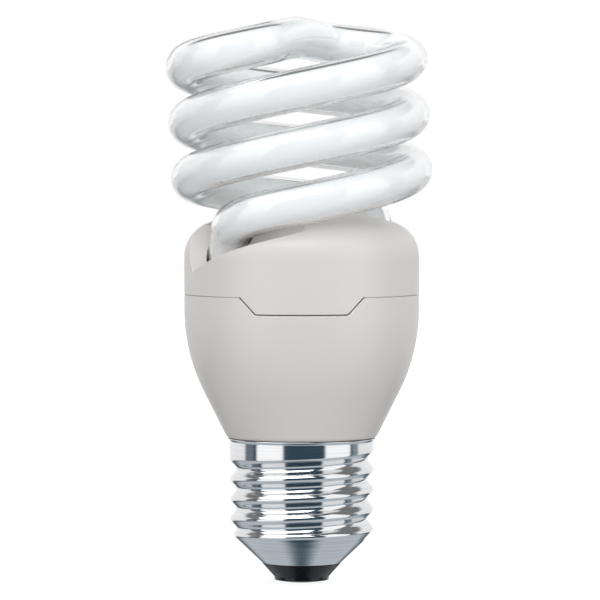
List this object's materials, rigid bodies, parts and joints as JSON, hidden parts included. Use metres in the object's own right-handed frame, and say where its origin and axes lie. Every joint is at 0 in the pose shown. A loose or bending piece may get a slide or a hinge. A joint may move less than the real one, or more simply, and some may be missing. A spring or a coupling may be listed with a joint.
{
  "type": "spiral compact fluorescent lamp",
  "caption": "Self-ballasted lamp with a glass tube wound as a double helix on a tapered plastic housing with a screw cap, made to be screwed into a lampholder.",
  "frame": {"origin": "on the lamp's axis, at the outermost point of the centre contact", "axes": "+Z along the axis from the cap to the spiral, -Y to the front of the housing with its tab"},
  "size_m": [0.0485, 0.0476, 0.1032],
  "materials": {
    "coated_glass": "clear glass, coated white inside",
    "housing_plastic": "satin warm light grey",
    "nickel_plate": "bright nickel plate",
    "black_glass": "glossy black",
    "contact_metal": "tinned",
    "board_laminate": "bare laminate",
    "ferrite": "ground ferrite",
    "bobbin_plastic": "moulded",
    "enamelled_wire": "enamelled copper",
    "capacitor_sleeve": "shrunk sleeve",
    "dipped_film": "dipped coating",
    "wire_insulation": "insulated wire",
    "resistor_lacquer": "lacquer",
    "component_epoxy": "moulded epoxy",
    "lamp_cement": "set cement",
    "tinned_wire": "tinned"
  },
  "bodies": {
    "root": {"spiral_tube": "coated_glass", "upper_housing": "housing_plastic", "lower_housing": "housing_plastic", "screw_shell": "nickel_plate", "cap_insulator": "black_glass", "centre_contact": "contact_metal", "ballast_board": "board_laminate", "choke_core": "ferrite", "toroid_core": "ferrite", "choke_bobbin": "bobbin_plastic", "choke_winding": "enamelled_wire", "drive_winding_1": "enamelled_wire", "drive_winding_2": "enamelled_wire", "drive_winding_3": "enamelled_wire", "electrolytic_capacitor": "capacitor_sleeve", "tube_capacitor": "dipped_film", "coupling_capacitor": "dipped_film", "contact_lead": "wire_insulation", "shell_lead": "wire_insulation", "fusible_resistor": "resistor_lacquer", "diac": "component_epoxy", "transistor_1": "component_epoxy", "transistor_2": "component_epoxy", "tube_cement_1": "lamp_cement", "tube_cement_2": "lamp_cement", "rectifier_diode_1": "component_epoxy", "lead_pin_1": "tinned_wire", "electrode_lead_1": "tinned_wire", "rectifier_diode_2": "component_epoxy", "lead_pin_2": "tinned_wire", "electrode_lead_2": "tinned_wire", "rectifier_diode_3": "component_epoxy", "lead_pin_3": "tinned_wire", "electrode_lead_3": "tinned_wire", "rectifier_diode_4": "component_epoxy", "lead_pin_4": "tinned_wire", "electrode_lead_4": "tinned_wire"}
  },
  "joints": []
}
